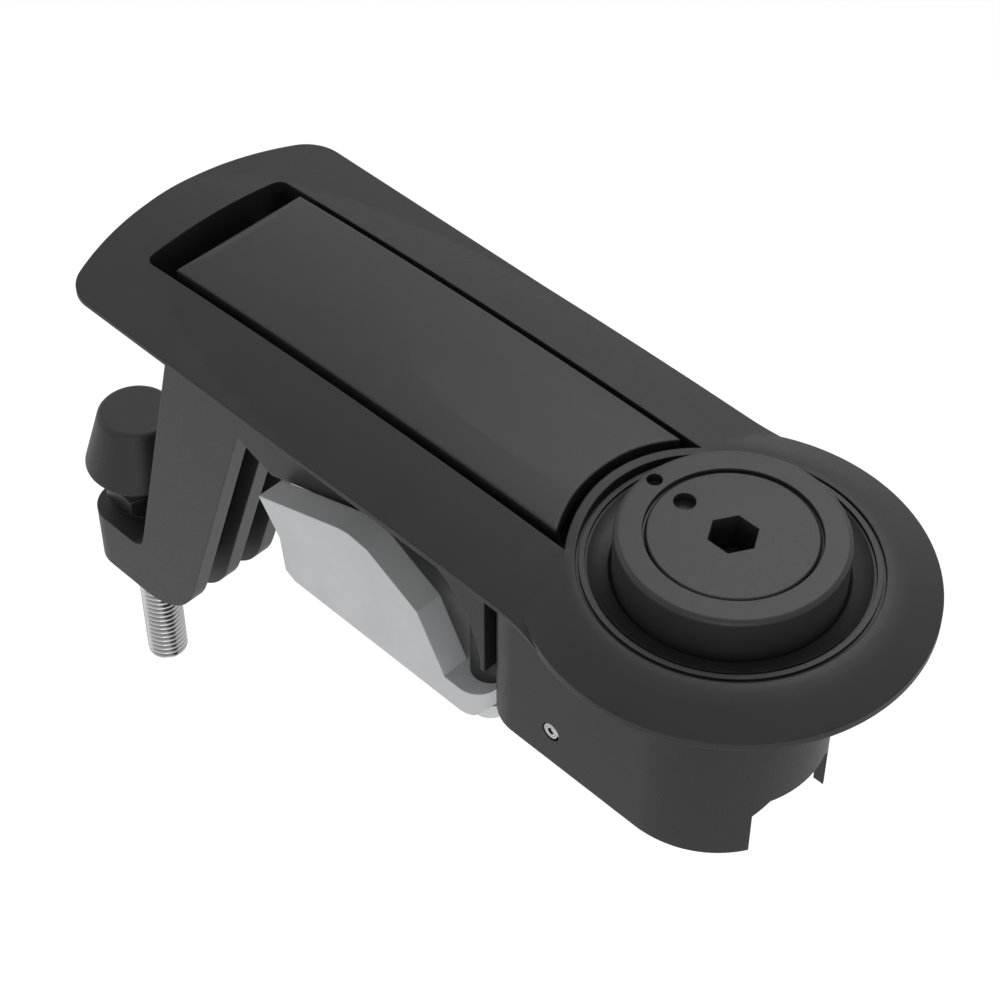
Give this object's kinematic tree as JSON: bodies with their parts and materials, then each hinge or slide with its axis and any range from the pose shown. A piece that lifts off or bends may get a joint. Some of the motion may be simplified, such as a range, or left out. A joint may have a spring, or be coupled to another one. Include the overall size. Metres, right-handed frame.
{
  "type": "push-button compression latch",
  "caption": "Flush push-button compression latch with a swing handle, a hex-key lock plug and a leg with an adjustable rubber bumper.",
  "frame": {"origin": "on the push button's axis, in the plane of the flange's underside, which lies on the panel", "axes": "+Z along the button axis out of the panel, -X along the handle towards the bumper, Y across the handle"},
  "size_m": [0.2216, 0.0732, 0.1685],
  "materials": {
    "black_casting": "satin black powder coat on zinc casting",
    "black_moulding": "fine satin black moulding",
    "black_rubber": "matt black rubber",
    "black_steel": "black oxide on steel",
    "zinc_plated_steel": "bright zinc plate",
    "zinc_plated_bracket": "satin bright zinc plate",
    "spring_steel": "drawn spring wire",
    "bush_plastic": "natural acetal"
  },
  "bodies": {
    "root": {"housing": "black_casting", "button_guide": "black_moulding", "flange_gasket": "black_rubber", "pivot_pin": "zinc_plated_steel", "pivot_clip": "spring_steel", "lever_springs": "spring_steel", "rest_pads": "black_rubber", "button_spring": "spring_steel", "rocker_pin": "zinc_plated_steel", "rocker_spring": "spring_steel", "mounting_bracket": "zinc_plated_bracket", "bracket_screws": "zinc_plated_steel", "bracket_washers": "zinc_plated_steel"},
    "lever": {"handle": "black_casting", "pawl_lever": "black_casting", "handle_screws": "zinc_plated_steel", "pivot_bushes": "bush_plastic", "jam_washer": "black_steel"},
    "button": {"button": "black_moulding", "plug_seal": "black_rubber", "plug_clip": "spring_steel", "button_seal": "black_rubber"},
    "lock": {"lock_plug": "black_moulding", "lock_cam": "zinc_plated_steel", "cam_screw": "zinc_plated_steel"},
    "rocker": {"rocker": "zinc_plated_steel"},
    "stud": {"adjusting_screw": "zinc_plated_steel", "bumper": "black_rubber", "bumper_washer": "zinc_plated_steel"},
    "nut": {"jam_nut": "black_steel"}
  },
  "joints": [
    {"name": "handle_lift", "type": "hinge", "parent": "root", "child": "lever", "pos_m": [-0.123, 0, -0.012], "axis": [0, -1, 0], "range_deg": [0, 30]},
    {"name": "button_press", "type": "slide", "parent": "root", "child": "button", "axis": [0, 0, 1], "range_m": [-0.004, 0], "stiffness_N_per_m": 2500, "springref_m": 0.002, "deforming": ["button_spring"]},
    {"name": "lock_turn", "type": "hinge", "parent": "button", "child": "lock", "pos_m": [0, 0, 0], "axis": [0, 0, 1], "range_deg": [0, 90]},
    {"name": "rocker_tip", "type": "hinge", "parent": "root", "child": "rocker", "pos_m": [-0.0214, 0, -0.0405], "axis": [0, 1, 0], "range_deg": [0, 14]},
    {"name": "bumper_setting", "type": "slide", "parent": "lever", "child": "stud", "axis": [0, 0, 1], "range_m": [0, 0.02]},
    {"name": "nut_turn", "type": "hinge", "parent": "lever", "child": "nut", "pos_m": [-0.172, 0, -0.097], "axis": [0, 0, 1], "continuous": true}
  ],
  "couplings": [
    {"joint": "rocker_tip", "follows": "button_press", "rad_per_m": -55.8}
  ]
}
